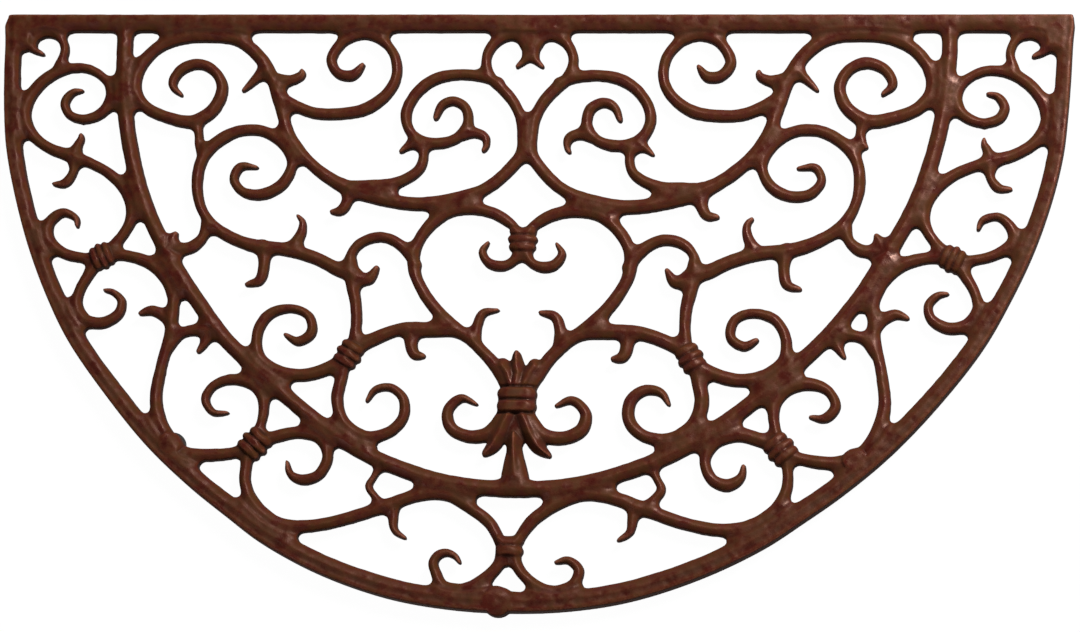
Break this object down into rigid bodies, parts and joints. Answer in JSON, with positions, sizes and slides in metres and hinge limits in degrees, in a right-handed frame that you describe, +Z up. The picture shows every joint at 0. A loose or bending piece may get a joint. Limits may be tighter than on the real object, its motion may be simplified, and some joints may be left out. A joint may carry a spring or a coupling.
{
  "type": "half-round door mat",
  "caption": "Half-round open cast iron door mat with scrollwork inside a grooved rim, standing on round rubber feet pressed into its underside.",
  "frame": {"origin": "on the floor under the middle of the mat's outline", "axes": "+X along the straight back bar, +Y from the round front towards the back bar, +Z up"},
  "size_m": [0.734, 0.413, 0.015],
  "materials": {
    "brown_cast_iron": "rust-brown satin coating on as-cast iron",
    "black_rubber": "matt moulded"
  },
  "bodies": {
    "root": {"cast_grille": "brown_cast_iron", "foot_front": "black_rubber", "foot_left": "black_rubber", "foot_right": "black_rubber", "foot_back_left": "black_rubber", "foot_back_right": "black_rubber", "foot_back_middle": "black_rubber"}
  },
  "joints": []
}
